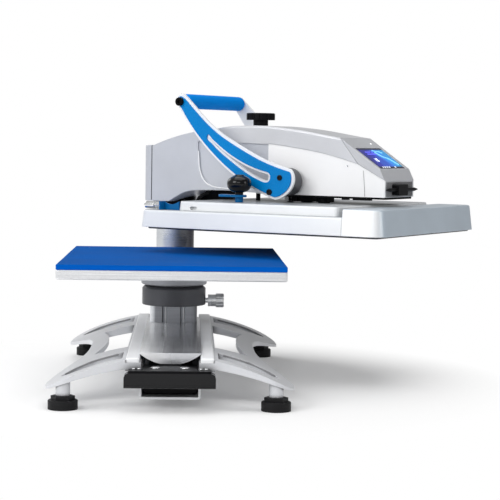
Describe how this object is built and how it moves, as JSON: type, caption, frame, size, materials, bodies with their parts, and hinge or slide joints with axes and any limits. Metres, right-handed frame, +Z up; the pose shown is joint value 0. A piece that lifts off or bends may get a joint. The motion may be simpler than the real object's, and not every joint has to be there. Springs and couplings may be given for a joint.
{
  "type": "swing-away heat press",
  "caption": "Swing-away heat press: an arched base and draw carriage under a flat padded platen, and a levered heated head that swings on a rear post.",
  "frame": {"origin": "floor level, at the centre of the four levelling feet", "axes": "+Z up, +Y from the draw handle at the front to the post at the back, +X to the right; the head is drawn swung 56.4 degrees to the right of its pressing place, with its handle raised"},
  "size_m": [0.813, 0.8692, 0.5481],
  "materials": {
    "leg_silver": "silver paint over casting, satin",
    "rail_grey": "light grey paint, satin",
    "channel_grey": "light grey paint, satin",
    "bar_bright": "bright extrusion, polished top",
    "post_grey": "ground steel, satin",
    "steel": "plain steel",
    "slide_steel": "zinc-plated steel",
    "black_plastic": "moulded black plastic",
    "gloss_black": "glossy black plastic",
    "foot_rubber": "black rubber and steel",
    "black_metal": "black paint, satin",
    "collar_grey": "dark grey coated casting",
    "hub_grey": "dark grey coated casting",
    "pedestal_silver": "fluted extrusion, satin",
    "platen_alu": "machined aluminium",
    "pad_blue": "blue silicone sponge",
    "housing_silver": "silver paint over casting, satin",
    "panel_white": "white moulded cover",
    "band_silver": "silver moulded cover",
    "console_silver": "silver moulded cover",
    "screen_glass": "display behind clear plastic",
    "arm_silver": "machined edge, clear coat",
    "arm_blue": "blue moulded cover",
    "grip_blue": "soft blue grip",
    "bracket_blue": "blue paint",
    "casing_white": "light silver moulded cover",
    "casing_front": "silver moulded cover",
    "heater_alu": "coated heat platen",
    "insulation": "mineral fibre board",
    "chrome": "bright plated"
  },
  "bodies": {
    "base": {"left_leg": "leg_silver", "right_leg": "leg_silver", "left_rail": "rail_grey", "right_rail": "rail_grey", "under_channel": "channel_grey", "post_foot": "black_metal", "post": "post_grey", "swing_collar": "black_metal", "base_fasteners": "steel", "outer_slides": "slide_steel"},
    "foot_fl": {"foot_front_left": "foot_rubber"},
    "foot_fr": {"foot_front_right": "foot_rubber"},
    "foot_rl": {"foot_rear_left": "foot_rubber"},
    "foot_rr": {"foot_rear_right": "foot_rubber"},
    "carriage": {"inner_slides": "slide_steel", "drawer_tray": "black_plastic", "handle_bracket": "black_metal", "draw_handle": "gloss_black", "drawer_screws": "chrome", "carriage_bar": "bar_bright", "pedestal": "pedestal_silver", "clamp_collar": "collar_grey", "platen_hub": "hub_grey", "lower_platen": "platen_alu", "silicone_pad": "pad_blue"},
    "clamp": {"clamp_knob": "chrome"},
    "head": {"swing_bushes": "black_plastic", "rear_housing": "housing_silver", "rear_cover": "housing_silver", "cover_band": "band_silver", "near_panel": "panel_white", "far_panel": "panel_white", "console_housing": "console_silver", "screen": "screen_glass", "under_frame": "black_metal", "head_beam": "steel", "swing_handle": "black_plastic", "power_inlet": "black_plastic"},
    "power_rocker": {"rocker_switch": "gloss_black"},
    "pressure": {"pressure_knob": "black_plastic"},
    "handle": {"near_arm": "arm_silver", "far_arm": "arm_silver", "arm_inlays": "arm_blue", "arm_hubs": "collar_grey", "cross_shaft": "steel", "press_cam": "steel", "grip": "grip_blue", "grip_bolts": "black_metal"},
    "heat_unit": {"heat_platen": "heater_alu", "insulation": "insulation", "casing_side": "casing_white", "casing_front": "casing_front", "casing_deck": "casing_white", "guide_rods": "black_metal", "ram": "black_metal", "near_bracket": "bracket_blue", "casing_fasteners": "chrome", "knob_tab": "bracket_blue", "ball_knob": "gloss_black", "conduits": "black_plastic"}
  },
  "joints": [
    {"name": "head_swing", "type": "hinge", "parent": "base", "child": "head", "pos_m": [0, 0.343, 0.37], "axis": [0, 0, 1], "range_deg": [-56.4, 33.6]},
    {"name": "handle_turn", "type": "hinge", "parent": "head", "child": "handle", "pos_m": [0.26404, 0.16758, 0.385], "axis": [0.5534, 0.8329, 0], "range_deg": [0, 112]},
    {"name": "platen_lift", "type": "slide", "parent": "head", "child": "heat_unit", "axis": [0, 0, -1], "range_m": [0, 0.0446]},
    {"name": "draw_slide", "type": "slide", "parent": "base", "child": "carriage", "axis": [0, -1, 0], "range_m": [0, 0.23]},
    {"name": "clamp_turn", "type": "hinge", "parent": "carriage", "child": "clamp", "pos_m": [0.08, 0.205, 0.132], "axis": [1, 0, 0], "continuous": true},
    {"name": "pressure_turn", "type": "hinge", "parent": "head", "child": "pressure", "pos_m": [0.17158, 0.229, 0.47], "axis": [0, 0, 1], "continuous": true},
    {"name": "switch_rock", "type": "hinge", "parent": "head", "child": "power_rocker", "pos_m": [0.094, 0.35799, 0.423], "axis": [0.8329, -0.5534, 0], "range_deg": [0, 14]},
    {"name": "foot_turn_front_left", "type": "hinge", "parent": "base", "child": "foot_fl", "pos_m": [-0.18, -0.35, 0.02], "axis": [0, 0, 1], "continuous": true},
    {"name": "foot_turn_front_right", "type": "hinge", "parent": "base", "child": "foot_fr", "pos_m": [0.18, -0.35, 0.02], "axis": [0, 0, 1], "continuous": true},
    {"name": "foot_turn_rear_left", "type": "hinge", "parent": "base", "child": "foot_rl", "pos_m": [-0.18, 0.35, 0.02], "axis": [0, 0, 1], "continuous": true},
    {"name": "foot_turn_rear_right", "type": "hinge", "parent": "base", "child": "foot_rr", "pos_m": [0.18, 0.35, 0.02], "axis": [0, 0, 1], "continuous": true}
  ],
  "couplings": [
    {"joint": "platen_lift", "follows": "handle_turn", "m_per_rad": 0.022765}
  ]
}
